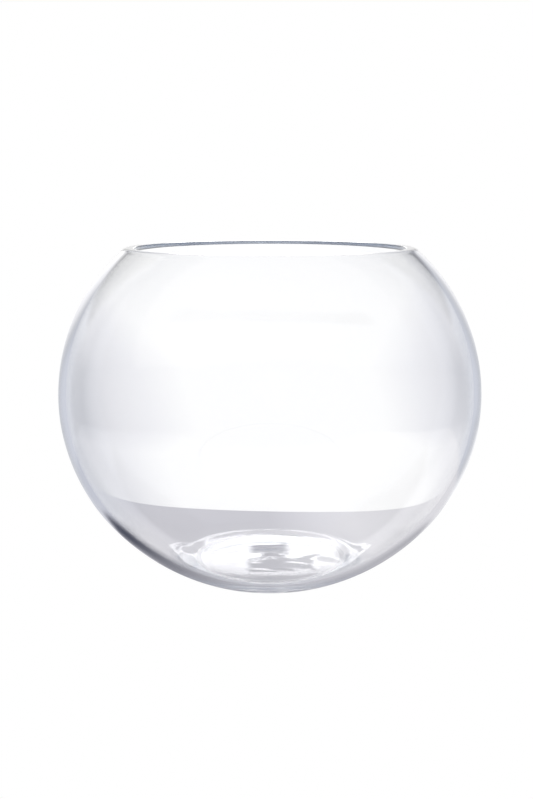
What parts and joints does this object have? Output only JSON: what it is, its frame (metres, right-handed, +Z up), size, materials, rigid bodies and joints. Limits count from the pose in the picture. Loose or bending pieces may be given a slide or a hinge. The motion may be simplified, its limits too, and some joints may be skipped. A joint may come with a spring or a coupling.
{
  "type": "rose bowl vase",
  "caption": "Squat, nearly round clear glass bowl vase with a wide plain mouth, a thick flat base and a shallow hollow under it.",
  "frame": {"origin": "centre of the base, on the surface that the bowl stands on", "axes": "+Z up the bowl's axis, out of its mouth; X and Y level, and the bowl is round about Z"},
  "size_m": [0.254, 0.254, 0.1993],
  "materials": {
    "clear_glass": "clear soda-lime glass, fire-polished"
  },
  "bodies": {
    "root": {"glass_bowl": "clear_glass"}
  },
  "joints": []
}
